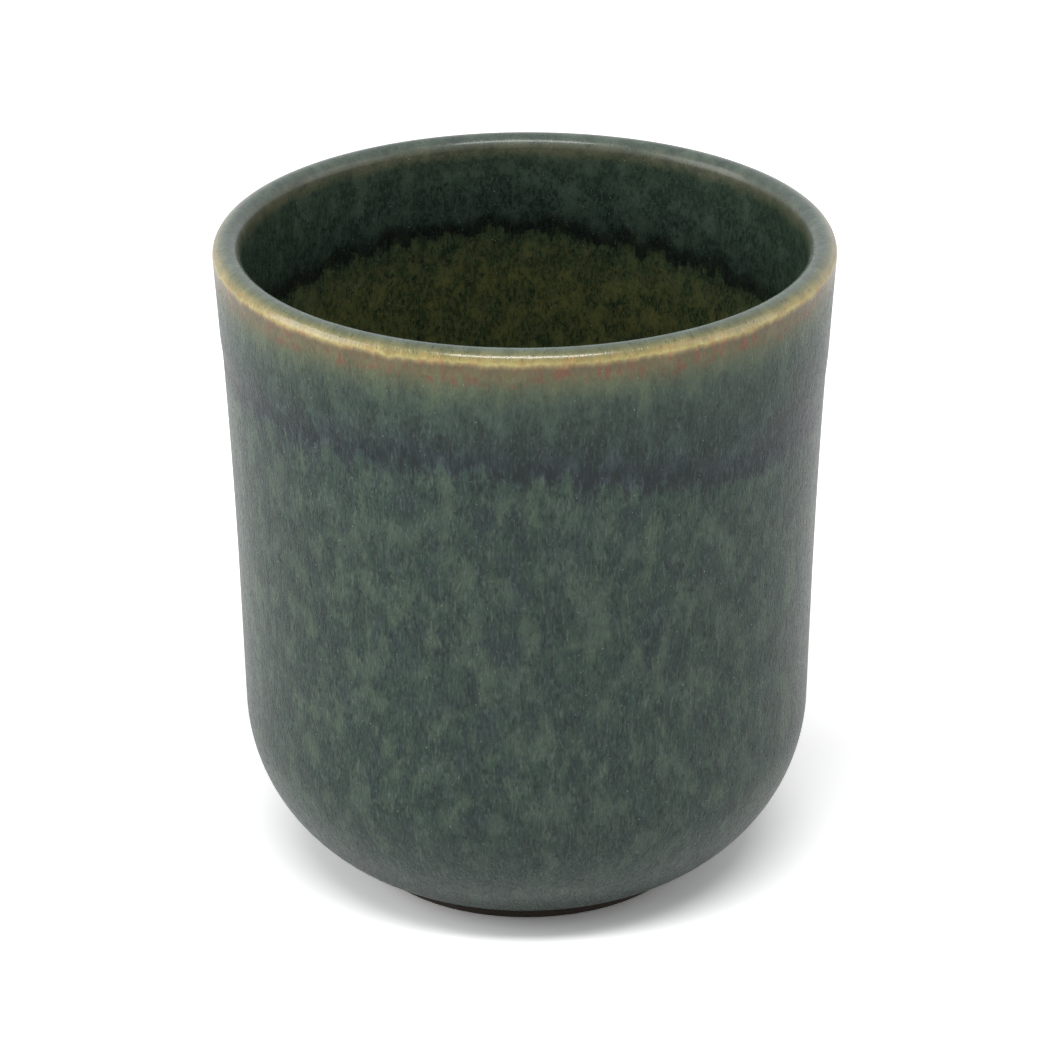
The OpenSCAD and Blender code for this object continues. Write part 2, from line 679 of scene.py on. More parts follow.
class GlazeField:
    """Patterns and levels of the glaze that every step of its finish reads."""

    def __init__(self, graph: Graph) -> None:
        """Lays the patterns along the runs and finds the level of each point.

        Args:
            graph: Node tree of the glaze.
        """
        self.add = graph.add
        self.tide = self.add("ShaderNodeAttribute", out="Fac", attribute_name="tide")
        self.drawn = self.sway()
        self.seen = {name: self.pattern(grain) for name, grain in GRAINS.items()}
        self.even = {
            name: self.add("ShaderNodeMath", {0: self.seen[name], 1: 0.5}, operation="SUBTRACT")
            for name in EVENED
        }
        self.level = self.break_up()
        self.pull = self.stretch()

    def sway(self) -> Any:
        """Lets the runs sway on their way down, and wriggle a little.

        Returns:
            Places along the swaying runs, in millimetres.
        """
        flow = self.add("ShaderNodeAttribute", out="Vector", attribute_name="flow")
        drawn = flow
        for size, reach in SWAYS:
            loose = self.add("ShaderNodeVectorMath", {0: flow, 1: size}, operation="MULTIPLY")
            sway = self.add("ShaderNodeTexNoise", {"Vector": loose, "Scale": 1.0, "Detail": 1.0}, out="Color")
            drawn = self.add("ShaderNodeVectorMath", {0: sway, 1: reach, 2: drawn}, operation="MULTIPLY_ADD")
        return drawn

    def pattern(self, grain: Grain) -> Any:
        """Lays one pattern along the runs.

        Args:
            grain: Size of the pattern.

        Returns:
            The pattern's value, from 0 to 1.
        """
        size = (1 / grain.width, 1 / grain.width, 1 / grain.length)
        place = self.add(
            "ShaderNodeVectorMath", {0: self.drawn, 1: size, 2: (grain.seed,) * 3}, operation="MULTIPLY_ADD"
        )
        return self.add(
            "ShaderNodeTexNoise",
            {"Vector": place, "Scale": 1.0, "Detail": grain.detail, "Roughness": grain.rough},
        )

    def break_up(self) -> Any:
        """Breaks the borders of the zones up into runs, most of all outside.

        Returns:
            Run below the crest at which a point takes its colour, in millimetres, negative inside.
        """
        loose = self.add("ShaderNodeMapRange", {0: self.tide, 1: -2.0, 2: 2.0, 3: 0.08, 4: 0.28})
        broken: Any = 1.0
        for name, share in (("streak", 0.05), ("wander", 0.22), ("cloud", 0.28), ("runs", loose)):
            broken = self.add(
                "ShaderNodeMath", {0: self.even[name], 1: share, 2: broken}, operation="MULTIPLY_ADD"
            )
        return self.add("ShaderNodeMath", {0: self.tide, 1: broken}, operation="MULTIPLY")

    def stretch(self) -> Any:
        """Finds how far the glaze was drawn out: little on the lip, fully on the walls.

        Returns:
            The share, from 0 to 1.
        """
        outside = self.add("ShaderNodeMapRange", {0: self.level, 1: 4.0, 2: 13.0, 3: 0.15, 4: 1.0})
        inside = self.add("ShaderNodeMapRange", {0: self.level, 1: -2.5, 2: -8.0, 3: 0.15, 4: 1.0})
        return self.add("ShaderNodeMath", {0: outside, 1: inside}, operation="MAXIMUM")


@dataclass(frozen=True)
class ReactiveGlaze(Finish):
    """Iron and rutile glaze fired on stoneware, with a second coat dipped over the lip.

    To the eye it is a dark satin green drawn down in fine streaks, with slate fields and pale olive blots,
    that breaks ochre and rust where it runs thin over the lip and gathers dark at the second coat's edge.
    """

    name: str
    zones: tuple[Zone, ...] = GLAZE_ZONES
    haze: str = "#26363a"
    # Darker, plainer glaze low on the body: partly thicker glaze, partly painted shade that dims the floor's
    # reflection there
    pooled_and_shaded: str = "#1c302c"
    rust: str = "#70442f"
    orange: str = "#a27040"
    frost_and_sheen: str = "#a4aca8"
    # Pale grey of the crystals, which also serves as painted sheen of fine glints
    ink: str = "#0a1d19"
    # White pinpricks: painted glints
    glint: str = "#b4beb6"
    speck: str = "#0b0f0d"
    ior: float = 1.42
    lip_rough: float = 0.16
    lip_coat: float = 0.4
    inner_coat: float = 0.25
    coat_rough: float = 0.12
    wall_rough: float = 0.22
    inner_rough: float = 0.5

    def fill(self, graph: Graph) -> None:
        """Fills the material's nodes.

        Args:
            graph: Node tree of the material.
        """
        field = GlazeField(graph)
        low, high = self.zones[0].run, self.zones[-1].run
        place = graph.add("ShaderNodeMapRange", {0: field.level, 1: low, 2: high})
        marks = graph.add(
            "ShaderNodeValToRGB", {0: place}, stops=[(self.spot(run), code) for run, code in MARK_ZONES]
        )
        rust_zone, orange_zone, haze_zone = (
            graph.add("ShaderNodeSeparateColor", {0: marks}, out=channel) for channel in range(3)
        )
        blot = graph.add(
            "ShaderNodeMapRange",
            {0: field.seen["blot"], 1: 0.45, 2: 0.66, 4: 0.85},
            interpolation_type="SMOOTHSTEP",
        )
        colour = self.ground(field, place, blot, haze_zone)
        colour = self.strokes(field, colour, ((rust_zone, self.rust), (orange_zone, self.orange)))
        beside = graph.add("ShaderNodeMath", {0: field.level, 1: OUTER_TIDE.mean}, operation="SUBTRACT")
        beside = graph.add("ShaderNodeMath", {0: beside}, operation="ABSOLUTE")
        colour = self.crystals(field, colour, beside)
        colour = self.threads(field, colour, beside, blot)
        colour = self.pricks(field, colour)
        glaze = graph.add(
            "ShaderNodeBsdfPrincipled",
            {
                "Base Color": colour,
                "Roughness": self.satin(field),
                "IOR": self.ior,
                "Normal": self.relief(field),
                "Coat Weight": self.gloss(field),
                "Coat Roughness": self.coat_rough,
            },
        )
        graph.add("ShaderNodeOutputMaterial", {"Surface": glaze})

    def spot(self, run: float) -> float:
        """Place of a run on the colour ramps, from 0 to 1."""
        low, high = self.zones[0].run, self.zones[-1].run
        return (run - low) / (high - low)

    def ground(self, field: GlazeField, place: Any, blot: Any, haze_zone: Any) -> Any:
        """Lays the zones' colours: the lip is calm, the outside drawn into streaks and the inside grainy.

        Args:
            field: Patterns of the glaze.
            place: Place on the colour ramps.
            blot: Share of the pale blots.
            haze_zone: Where the haze shows.

        Returns:
            The colour.
        """
        add = field.add
        spots = [self.spot(zone.run) for zone in self.zones]
        dark, mid, pale = (
            add("ShaderNodeValToRGB", {0: place}, stops=list(zip(spots, codes)))
            for codes in zip(*((zone.dark, zone.mid, zone.pale) for zone in self.zones))
        )
        streaked = add("ShaderNodeMath", {0: field.pull, 1: 0.7}, operation="MULTIPLY")
        grainy = add("ShaderNodeMapRange", {0: field.level, 1: -1.5, 2: -4.0, 4: 1.6})
        mottle = field.seen["cloud"]
        for name, weight in (("streak", streaked), ("stroke", grainy)):
            mottle = add(
                "ShaderNodeMath", {0: field.even[name], 1: weight, 2: mottle}, operation="MULTIPLY_ADD"
            )
        cloud = add("ShaderNodeMapRange", {0: mottle, 1: 0.37, 2: 0.63}, interpolation_type="SMOOTHSTEP")
        ground = add("ShaderNodeMix", {0: cloud, 6: dark, 7: mid}, **COLOUR_MIX)
        colour = add("ShaderNodeMix", {0: blot, 6: ground, 7: pale}, **COLOUR_MIX)
        veil = add(
            "ShaderNodeMapRange",
            {0: field.seen["haze"], 1: 0.50, 2: 0.64, 4: 0.25},
            interpolation_type="SMOOTHSTEP",
        )
        veiled = add("ShaderNodeMath", {0: veil, 1: haze_zone}, operation="MULTIPLY")
        colour = add("ShaderNodeMix", {0: veiled, 6: colour, 7: linear(self.haze)}, **COLOUR_MIX)
        # Low on the body the colour turns to a darker, plainer tone: thicker glaze, and painted shade over
        # the floor's reflection
        low_pool_and_shade = add(
            "ShaderNodeMapRange", {0: field.tide, 1: 58.0, 2: 78.0, 4: 0.35}, interpolation_type="SMOOTHSTEP"
        )
        return add("ShaderNodeMix", {0: low_pool_and_shade, 6: colour, 7: linear(self.pooled_and_shaded)}, **COLOUR_MIX)

    def strokes(self, field: GlazeField, colour: Any, zones: Sequence[tuple[Any, str]]) -> Any:
        """Sets rust and orange strokes in groups under the lip.

        Args:
            field: Patterns of the glaze.
            colour: Colour so far.
            zones: Where each kind of stroke shows, and its colour.

        Returns:
            The colour with the strokes.
        """
        add = field.add
        group = add("ShaderNodeMapRange", {0: field.seen["group"], 1: 0.36, 2: 0.52})
        stroke = add("ShaderNodeMapRange", {0: field.seen["fleck"], 1: 0.49, 2: 0.62, 4: 0.75})
        marked = add("ShaderNodeMath", {0: group, 1: stroke}, operation="MULTIPLY")
        for zone, code in zones:
            share = add("ShaderNodeMath", {0: marked, 1: zone}, operation="MULTIPLY")
            colour = add("ShaderNodeMix", {0: share, 6: colour, 7: linear(code)}, **COLOUR_MIX)
        return colour

    def crystals(self, field: GlazeField, colour: Any, beside: Any) -> Any:
        """Strews fine crystals, like grey dust and pale veins, whose pale grey also stands as painted sheen
        of fine glints; less inside, and hardly at the second coat's edge.

        Args:
            field: Patterns of the glaze.
            colour: Colour so far.
            beside: Distance from the second coat's edge.

        Returns:
            The colour with the crystals.
        """
        add = field.add
        veined = add("ShaderNodeMath", {0: field.pull, 1: 0.07}, operation="MULTIPLY")
        vein = add("ShaderNodeMapRange", {0: field.seen["vein"], 1: 0.56, 2: 0.68, 4: veined})
        grit = add("ShaderNodeMapRange", {0: field.seen["grit"], 1: 0.35, 2: 0.8, 4: 0.06})
        dust = add("ShaderNodeMath", {0: grit, 1: vein})
        less_inside = add("ShaderNodeMapRange", {0: field.level, 1: -3.0, 2: 3.0, 3: 0.3, 4: 1.0})
        clear = add("ShaderNodeMapRange", {0: beside, 1: 0.3, 2: 2.5, 3: 0.35, 4: 1.0})
        for share in (less_inside, clear):
            dust = add("ShaderNodeMath", {0: dust, 1: share}, operation="MULTIPLY")
        # The pale grey is partly crystal frost and partly painted sheen of fine glints
        return add("ShaderNodeMix", {0: dust, 6: colour, 7: linear(self.frost_and_sheen)}, **COLOUR_MIX)

    def threads(self, field: GlazeField, colour: Any, beside: Any, blot: Any) -> Any:
        """Draws dark threads, crowded in the dark fields and at the second coat's edge, and peppers the lip.

        Args:
            field: Patterns of the glaze.
            colour: Colour so far.
            beside: Distance from the second coat's edge.
            blot: Share of the pale blots, which the threads spare.

        Returns:
            The colour with the threads.
        """
        add = field.add
        gather = add("ShaderNodeMapRange", {0: beside, 1: 0.3, 2: 2.0, 3: -0.12, 4: 0.0})
        crowd = add("ShaderNodeMath", {0: field.seen["thread"], 1: gather})
        crowd = add("ShaderNodeMath", {0: field.even["cloud"], 1: 0.45, 2: crowd}, operation="MULTIPLY_ADD")
        calm = add("ShaderNodeMapRange", {0: blot, 3: 0.85, 4: 0.5})
        thread = add("ShaderNodeMapRange", {0: crowd, 1: 0.31, 2: 0.43, 3: calm, 4: 0.0})
        pulled = add("ShaderNodeMath", {0: thread, 1: field.pull}, operation="MULTIPLY")
        away = add("ShaderNodeMath", {0: field.level}, operation="ABSOLUTE")
        bared = add("ShaderNodeMapRange", {0: away, 1: 1.0, 2: 4.0, 3: 0.6, 4: 0.0})
        pepper = add("ShaderNodeMapRange", {0: field.seen["grit"], 1: 0.30, 2: 0.40, 3: bared, 4: 0.0})
        inked = add("ShaderNodeMath", {0: pulled, 1: pepper}, operation="MAXIMUM")
        return add("ShaderNodeMix", {0: inked, 6: colour, 7: linear(self.ink)}, **COLOUR_MIX)

    def pricks(self, field: GlazeField, colour: Any) -> Any:
        """Sets white pinpricks painted as glints, and black ones of iron, a little larger than they are.

        Args:
            field: Patterns of the glaze.
            colour: Colour so far.

        Returns:
            The colour with the pinpricks.
        """
        add = field.add
        # The white pinpricks are painted glints; the black ones are iron
        for spacing, size, code in ((0.9, 0.045, self.glint), (2.2, 0.022, self.speck)):
            cells = add("ShaderNodeTexVoronoi", {"Vector": field.drawn, "Scale": 1 / spacing}, out="Distance")
            prick = add("ShaderNodeMapRange", {0: cells, 1: size, 2: 2 * size, 3: 0.9, 4: 0.0})
            luck = add("ShaderNodeMapRange", {0: cells.node.outputs["Color"], 1: 0.4, 2: 1.0})
            shown = add("ShaderNodeMath", {0: prick, 1: luck}, operation="MULTIPLY")
            colour = add("ShaderNodeMix", {0: shown, 6: colour, 7: linear(code)}, **COLOUR_MIX)
        return colour

    def relief(self, field: GlazeField) -> Any:
        """Raises the ripples and sinks the pits of the surface, in millimetres, least on the lip.

        Args:
            field: Patterns of the glaze.

        Returns:
            The normal.
        """
        add = field.add
        height = add("ShaderNodeMapRange", {0: field.seen["pit"], 1: 0.30, 2: 0.48, 3: 0.0, 4: 0.055})
        for name, rise in (("peel", 0.07), ("thread", 0.02)):
            height = add(
                "ShaderNodeMath", {0: field.seen[name], 1: rise, 2: height}, operation="MULTIPLY_ADD"
            )
        strength = add("ShaderNodeMapRange", {0: field.level, 1: 0.0, 2: 6.0, 3: 0.3, 4: 1.0})
        return add("ShaderNodeBump", {"Strength": strength, "Distance": MM, "Height": height})

    def satin(self, field: GlazeField) -> Any:
        """Finds the roughness: glossy on the lip, satin on the walls and matt on the inner shoulder.

        Args:
            field: Patterns of the glaze.

        Returns:
            The roughness.
        """
        add = field.add
        matt = add(
            "ShaderNodeMapRange", {0: field.level, 1: -2.6, 2: -4.2, 3: self.inner_rough, 4: self.wall_rough}
        )
        inside = add("ShaderNodeMapRange", {0: field.level, 1: -1.2, 2: -2.4, 3: self.lip_rough, 4: matt})
        outside = add(
            "ShaderNodeMapRange", {0: field.level, 1: 2.0, 2: 7.0, 3: self.lip_rough, 4: self.wall_rough}
        )
        satin = add("ShaderNodeMath", {0: inside, 1: outside}, operation="MAXIMUM")
        return add("ShaderNodeMath", {0: field.seen["thread"], 1: 0.1, 2: satin}, operation="MULTIPLY_ADD")

    def gloss(self, field: GlazeField) -> Any:
        """Lays a glassy skin on the outer and inner shoulders of the lip, where the glaze pulled smooth.

        Args:
            field: Patterns of the glaze.

        Returns:
            The weight of the clear coat.
        """
        add = field.add
        outer = add("ShaderNodeMapRange", {0: field.level, 1: 2.0, 2: 4.5, 3: self.lip_coat, 4: 0.0})
        rolled = add("ShaderNodeMapRange", {0: field.level, 1: -2.7, 2: -3.6, 3: self.inner_coat, 4: 0.0})
        inner = add("ShaderNodeMapRange", {0: field.level, 1: -0.8, 2: -1.7, 3: 0.0, 4: rolled})
        return add("ShaderNodeMapRange", {0: field.level, 1: -0.4, 2: 1.0, 3: inner, 4: outer})


@dataclass(frozen=True)
class BareClay(Finish):
    """Unglazed iron-bearing stoneware, turned on the wheel: dull, sandy, warm brown with dark specks."""

    name: str
    pale: str
    dark: str
    speck: str
    grit: float = 0.35
    toast: float = 14.0
    iron: float = 1.6
    relief: float = 0.05
    ior: float = 1.5

    def fill(self, graph: Graph) -> None:
        """Fills the material's nodes.

        Args:
            graph: Node tree of the material.
        """
        add = graph.add
        place = add("ShaderNodeTexCoord", out="Object")
        sand = add("ShaderNodeTexNoise", {"Vector": place, "Scale": 1 / (self.grit * MM), "Detail": 3.0})
        toast = add("ShaderNodeTexNoise", {"Vector": place, "Scale": 1 / (self.toast * MM), "Detail": 2.0})
        tone = add("ShaderNodeMath", {0: sand, 1: toast})
        share = add("ShaderNodeMapRange", {0: tone, 1: 0.75, 2: 1.25})
        clay = add("ShaderNodeValToRGB", {0: share}, stops=((0.0, self.dark), (1.0, self.pale)))
        cells = add("ShaderNodeTexVoronoi", {"Vector": place, "Scale": 1 / (self.iron * MM)}, out="Distance")
        iron = add("ShaderNodeMapRange", {0: cells, 1: 0.10, 2: 0.16, 3: 1.0, 4: 0.0})
        specked = add("ShaderNodeMix", {0: iron, 6: clay, 7: linear(self.speck)}, **COLOUR_MIX)
        bump = add("ShaderNodeBump", {"Strength": 1.0, "Distance": self.relief * MM, "Height": sand})
        rough = add("ShaderNodeMapRange", {0: sand, 1: 0.3, 2: 0.7, 3: 0.78, 4: 0.92})
        body = add(
            "ShaderNodeBsdfPrincipled",
            {"Base Color": specked, "Roughness": rough, "IOR": self.ior, "Normal": bump},
        )
        add("ShaderNodeOutputMaterial", {"Surface": body})


@dataclass(frozen=True)
class Piece(ABC):
    """Turned piece of the cup that stands for one solid."""

    shape: CupShape
    throwing: Throwing
    name: str
    node: str
    slot: str
    finish: Finish
    steps: int = 240
    inside_squeeze: float = 1.6

    @abstractmethod
    def turn(self) -> Turning:
        """Draws the profile and spins it."""

    def work(self, shell: Shell) -> None:
        """Shapes the spun shell and notes what its finish reads."""

    def make(self) -> bpy.types.Object:
        """Builds and dresses the piece and sets it in the frame.

        Returns:
            The finished object.
        """
        shell = Shell(self.name, self.turn())
        self.work(shell)
        shell.points = self.throwing.settle(shell.points, self.shape)
        made = shell.write()
        made.data.materials.append(self.finish.material())
        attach(made, BODY)
        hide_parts(self.node)
        log.info("%s: %d faces", made.name, len(made.data.polygons))
        return made

    def climb_outside(self, turning: Turning, coat: float, pitch: float) -> None:
        """Draws from the lower corner up the outside to the crest.

        Args:
            turning: Chain whose tip is on the lower corner.
            coat: Thickness of glaze on the clay.
            pitch: Length of one step on the wall.
        """
        s = self.shape
        turning.arc_to(s.corner_c, -s.lean, pitch)
        turning.line_to(s.flare_c + (s.flare_r - s.half - coat) * toward(math.pi - s.lean), pitch)
        turning.arc_to(s.flare_c, math.pi - s.lip_lean, pitch)
        turning.arc_to(s.lip_c, math.pi / 2 - s.lip_lean, pitch / 3)

    def descend_outside(self, turning: Turning, coat: float, pitch: float) -> None:
        """Draws from the crest down the outside to the foot ring.

        Args:
            turning: Chain whose tip is at the crest.
            coat: Thickness of glaze on the clay.
            pitch: Length of one step on the wall.
        """
        s = self.shape
        turning.arc_to(s.lip_c, -s.lip_lean, pitch / 3)
        turning.arc_to(s.flare_c, math.pi - s.lean, pitch)
        turning.line_to(s.corner_c + (s.corner_r + coat) * toward(-s.lean), pitch)
        turning.arc_to(s.corner_c, s.corner_turn, pitch)

    def climb_inside(self, turning: Turning, coat: float, pool: float, pitch: float) -> None:
        """Draws from the middle of the floor up the inside to the crest.

        Args:
            turning: Chain whose tip is on the axis.
            coat: Thickness of glaze on the wall.
            pool: Depth of glaze on the floor.
            pitch: Length of one step on the wall.
        """
        s = self.shape
        well = s.well_c(coat, pool)
        meet = well - s.dish_c(pool)
        turning.arc_to(s.dish_c(pool), math.atan2(meet.y, meet.x), pitch)
        turning.arc_to(well, -s.lean, pitch)
        turning.line_to(s.flare_c + (s.flare_r + s.half + coat) * toward(math.pi - s.lean), pitch)
        turning.arc_to(s.flare_c, math.pi - s.lip_lean, pitch)
        turning.arc_to(s.lip_c, math.pi / 2 - s.lip_lean, pitch / 3)

    def descend_inside(self, turning: Turning, coat: float, pool: float, pitch: float) -> None:
        """Draws from the crest down the inside to the middle of the floor.

        Args:
            turning: Chain whose tip is at the crest.
            coat: Thickness of glaze on the wall.
            pool: Depth of glaze on the floor.
            pitch: Length of one step on the wall.
        """
        s = self.shape
        well = s.well_c(coat, pool)
        meet = well - s.dish_c(pool)
        turning.arc_to(s.lip_c, math.pi - s.lip_lean, pitch / 3)
        turning.arc_to(s.flare_c, math.pi - s.lean, pitch)
        turning.line_to(well + (s.well_r - coat) * toward(-s.lean), pitch)
        turning.arc_to(well, math.atan2(meet.y, meet.x), pitch)
        turning.arc_to(s.dish_c(pool), -math.pi / 2, pitch)

    def note_flow(self, shell: Shell, tide_line: TideLine) -> None:
        """Notes how the glaze ran on one side of the wall.

        Args:
            shell: Shell whose run counts down from the crest.
            tide_line: Edge of the second coat on that side.
        """
        s = self.shape
        limit = tide_line.depth(shell.turn) + (math.pi / 2 - 1) * s.lip_r
        wide, run = np.full_like(shell.run, s.rim_r), shell.run
        if tide_line.side is Side.INSIDE:
            wide *= np.minimum(1.0, shell.radius / (s.corner_c.x + s.corner_r / 2))
            run = -self.inside_squeeze * run
        shell.note("flow", np.stack([wide * np.cos(shell.turn), wide * np.sin(shell.turn), run], axis=1))
        shell.note("tide", tide_line.tide(shell.run, limit))


@dataclass(frozen=True)
class ClayBody(Piece):
    """Thrown wall and floor, seen only where the hollow under the foot and the glaze's end leave it bare."""

    steps: int = 180
    pitch: float = 2.0
    ring_pitch: float = 1.5
    ring_depth: float = 0.06
    ring_start: float = 4.0
    margin: float = 0.2

    def turn(self) -> Turning:
        """Draws the profile and spins it.

        Returns:
            The spun chain.
        """
        s = self.shape
        dome = s.foot_h + s.hollow_rise - s.hollow_c.y
        chain = Turning(Vector((0.0, s.foot_h + s.hollow_rise)))
        chain.arc_to(s.hollow_c, math.acos(s.foot_in / dome), self.ring_pitch / 5)
        chain.line_to(Vector((s.foot_r, s.foot_h)), self.pitch)
        self.climb_outside(chain, 0.0, self.pitch)
        self.descend_inside(chain, 0.0, 0.0, self.pitch)
        chain.spin(self.steps)
        return chain

    def work(self, shell: Shell) -> None:
        """Cuts the rings of the turning tool into the hollow under the floor.

        Args:
            shell: Spun shell of the piece.
        """
        s = self.shape
        height = shell.points[:, 2]
        roof = s.foot_h + s.hollow_rise + self.margin / 2
        under = (shell.radius < s.foot_in - self.margin) & (height < roof)
        wave = np.cos(2 * math.pi * shell.radius / self.ring_pitch + shell.turn)
        depth = self.ring_depth * (1 + wave) * np.minimum(shell.radius / self.ring_start, 1) / 2
        shell.points[:, 2] += np.where(under, depth, 0.0)


@dataclass(frozen=True)
class FootRing(Piece):
    """Bare clay ring that the cup stands on."""

    pitch: float = 0.5

    def turn(self) -> Turning:
        """Draws the profile and spins it.

        Returns:
            The spun chain.
        """
        s = self.shape
        chain = Turning(Vector((s.foot_r, s.foot_h)))
        chain.line_to(Vector((s.foot_r, s.foot_edge)), self.pitch)
        chain.arc_to(Vector((s.foot_r - s.foot_edge, s.foot_edge)), -math.pi / 2, self.pitch / 4)
        chain.line_to(Vector((s.foot_in + s.foot_edge, 0.0)), self.pitch)
        chain.arc_to(Vector((s.foot_in + s.foot_edge, s.foot_edge)), -math.pi, self.pitch / 4)
        chain.line_to(Vector((s.foot_in, s.foot_h)), self.pitch)
        chain.line_to(Vector((s.foot_r, s.foot_h)), self.pitch)
        chain.spin(self.steps)
        return chain


@dataclass(frozen=True)
class OuterGlaze(Piece):
    """Base coat outside, from its rolled end above the foot ring to the crest."""

    pitch: float = 1.0
    bare: float = 0.35
    sag: float = 0.25
    sag_reach: float = 6.0

    def turn(self) -> Turning:
        """Draws the profile and spins it.

        Returns:
            The spun chain.
        """
        s = self.shape
        end = s.corner_turn + self.bare / s.corner_r
        chain = Turning(s.corner_c + s.corner_r * toward(end))
        chain.arc_to(s.corner_c + s.corner_r * toward(end + s.coat_t / s.corner_r), end, s.coat_t / 3)
        self.climb_outside(chain, s.coat_t, self.pitch)
        chain.mark_crest()
        chain.hide()
        chain.line_to(s.lip_c + s.half * toward(math.pi / 2 - s.lip_lean), self.pitch)
        self.descend_outside(chain, 0.0, 2 * self.pitch)
        chain.spin(self.steps)
        return chain

    def work(self, shell: Shell) -> None:
        """Lets the lower edge wander and notes how the glaze ran.

        Args:
            shell: Spun shell of the piece.
        """
        s = self.shape
        self.note_flow(shell, OUTER_TIDE)
        arm = np.stack([shell.radius - s.corner_c.x, shell.points[:, 2] - s.corner_c.y])
        angle, reach = np.arctan2(arm[1], arm[0]), np.hypot(*arm)
        climb = (angle - s.corner_turn) * s.corner_r
        near = np.clip(1 - climb / self.sag_reach, 0, 1) ** 2 * (angle < -s.lean)
        waves = ((0.5, 3, 0.8), (0.3, 7, -1.1), (0.2, 13, 0.0))
        wave = sum(height * np.cos(count * shell.turn + phase) for height, count, phase in waves)
        angle += near * wave * self.sag / s.corner_r
        shell.set_radius(s.corner_c.x + reach * np.cos(angle), near > 0)
        shell.points[:, 2] = np.where(near > 0, s.corner_c.y + reach * np.sin(angle), shell.points[:, 2])


@dataclass(frozen=True)
class LinerGlaze(Piece):
    """Base coat inside, pooled on the floor."""

    pitch: float = 1.0

    def turn(self) -> Turning:
        """Draws the profile and spins it.

        Returns:
            The spun chain.
        """
        s = self.shape
        chain = Turning(Vector((0.0, s.foot_h + s.floor_t + s.pool_t)))
        self.climb_inside(chain, s.coat_t, s.pool_t, self.pitch)
        chain.mark_crest()
        chain.hide()
        chain.line_to(s.lip_c + s.half * toward(math.pi / 2 - s.lip_lean), self.pitch)
        self.descend_inside(chain, 0.0, 0.0, 2 * self.pitch)
        chain.spin(self.steps)
        return chain

    def work(self, shell: Shell) -> None:
        """Notes how the glaze ran."""
        self.note_flow(shell, INNER_TIDE)


@dataclass(frozen=True)
class RimGlaze(Piece):
    """Second coat over the lip, thinned out to its wavy edges."""

    steps: int = 300
    pitch: float = 0.6
    feather: float = 4.0

    def turn(self) -> Turning:
        """Draws the profile and spins it.

        Returns:
            The spun chain.
        """
        s = self.shape
        base, full = s.half + s.coat_t, s.half + s.coat_t + s.dip_t
        out_z, in_z = s.height - OUTER_TIDE.mean, s.height - INNER_TIDE.mean
        chain = Turning(s.flare_point(base, out_z))
        chain.line_to(s.flare_point(full, out_z + self.feather), self.pitch)
        chain.arc_to(s.flare_c, math.pi - s.lip_lean, self.pitch)
        chain.arc_to(s.lip_c, math.pi / 2 - s.lip_lean, self.pitch / 2)
        chain.mark_crest()
        chain.arc_to(s.lip_c, math.pi - s.lip_lean, self.pitch / 2)
        inner = s.flare_point(-full, in_z + self.feather) - s.flare_c
        chain.arc_to(s.flare_c, math.atan2(inner.y, inner.x), self.pitch)
        chain.line_to(s.flare_point(-base, in_z), self.pitch)
        chain.hide()
        chain.arc_to(s.flare_c, math.pi - s.lip_lean, self.pitch)
        chain.arc_to(s.lip_c, math.pi / 2 - s.lip_lean, self.pitch / 2)
        chain.arc_to(s.lip_c, -s.lip_lean, self.pitch / 2)
        outer = s.flare_point(base, out_z) - s.flare_c
        chain.arc_to(s.flare_c, math.atan2(outer.y, outer.x), self.pitch)
        chain.spin(self.steps)
        return chain

    def work(self, shell: Shell) -> None:
        """Draws the coat down to its wavy edges and notes how it ran.

        Args:
            shell: Spun shell of the piece.
        """
        s = self.shape
        quarter = math.pi / 2 * s.lip_r
        offset = s.wall_offset(shell.radius, shell.points[:, 2])
        drop = s.lip_c.y - shell.points[:, 2]
        for line, side in ((OUTER_TIDE, 1.0), (INNER_TIDE, -1.0)):
            thin = (s.height - line.mean - s.lip_c.y + drop + self.feather) / self.feather
            grown = np.clip(1 - thin, 0, 1)
            skin = shell.skin & (offset * side > 0) & (drop > 0)
            offset[skin] = (side * (s.half + s.coat_t + s.dip_t * grown**2 * (3 - 2 * grown)))[skin]
        tides = np.empty_like(drop)
        runs = shell.run.copy()
        for line, side in ((OUTER_TIDE, offset >= 0), (INNER_TIDE, offset < 0)):
            depth = line.depth(shell.turn)
            scale = (depth - s.lip_r) / (line.mean - s.lip_r)
            wall = side & (drop > 0)
            shell.points[wall, 2] = (s.lip_c.y - drop * scale)[wall]
            length = np.abs(shell.run)
            length = np.where(length > quarter, quarter + (length - quarter) * scale, length)
            squeeze = 1.0 if line.side is Side.OUTSIDE else -self.inside_squeeze
            runs[side] = (squeeze * length)[side]
            tides[side] = line.tide(length, depth + quarter - s.lip_r)[side]
        shell.set_radius(s.wall_radius(shell.points[:, 2], offset), drop > 0)
        across = s.rim_r * np.stack([np.cos(shell.turn), np.sin(shell.turn)], axis=1)
        shell.note("flow", np.column_stack([across, runs]))
        shell.note("tide", tides)


